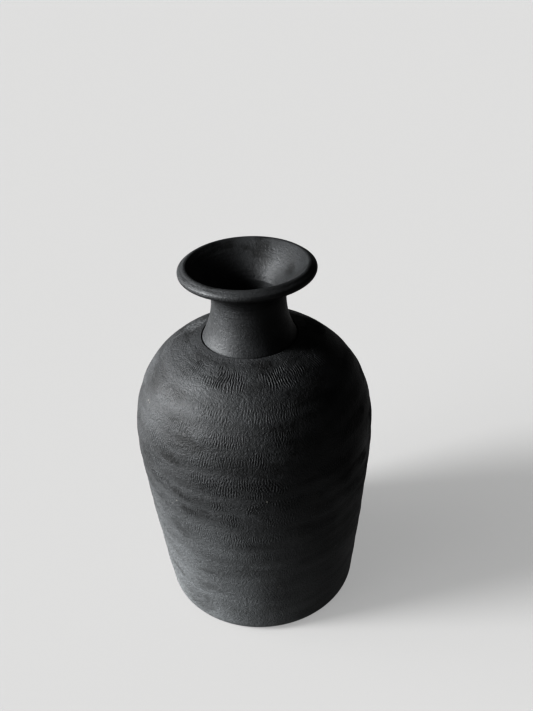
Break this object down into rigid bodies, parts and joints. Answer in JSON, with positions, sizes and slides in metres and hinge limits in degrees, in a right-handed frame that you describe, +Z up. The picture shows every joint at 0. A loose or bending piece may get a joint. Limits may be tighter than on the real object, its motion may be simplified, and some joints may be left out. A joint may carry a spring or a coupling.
{
  "type": "clay pot",
  "caption": "Matte black smoked-clay pot with a shouldered body raised in courses, a concave neck set in a grooved seam, and a flared mouth with a rolled lip.",
  "frame": {"origin": "middle of the circle that the foot rests on", "axes": "+Z up along the pot's turning axis, through the mouth; the picture is taken from the -Y side"},
  "size_m": [0.1604, 0.1604, 0.2576],
  "materials": {
    "body_clay": "matte smoked clay with chatter marks and turning ridges",
    "neck_clay": "smooth matte smoked clay, lightly rubbed",
    "joint_clay": "raw smoked clay, smeared by finger"
  },
  "bodies": {
    "root": {"floor_pat": "body_clay", "heel_course": "body_clay", "wall_course_1": "body_clay", "wall_course_2": "body_clay", "wall_course_3": "body_clay", "wall_course_4": "body_clay", "wall_course_5": "body_clay", "wall_course_6": "body_clay", "wall_course_7": "body_clay", "wall_course_8": "body_clay", "shoulder_course_1": "body_clay", "shoulder_course_2": "body_clay", "shoulder_course_3": "body_clay", "shoulder_ring": "body_clay", "floor_seam_coil": "joint_clay", "neck_seam_coil": "joint_clay", "neck_collar": "neck_clay", "mouth_flare": "neck_clay", "lip_roll": "neck_clay"}
  },
  "joints": []
}
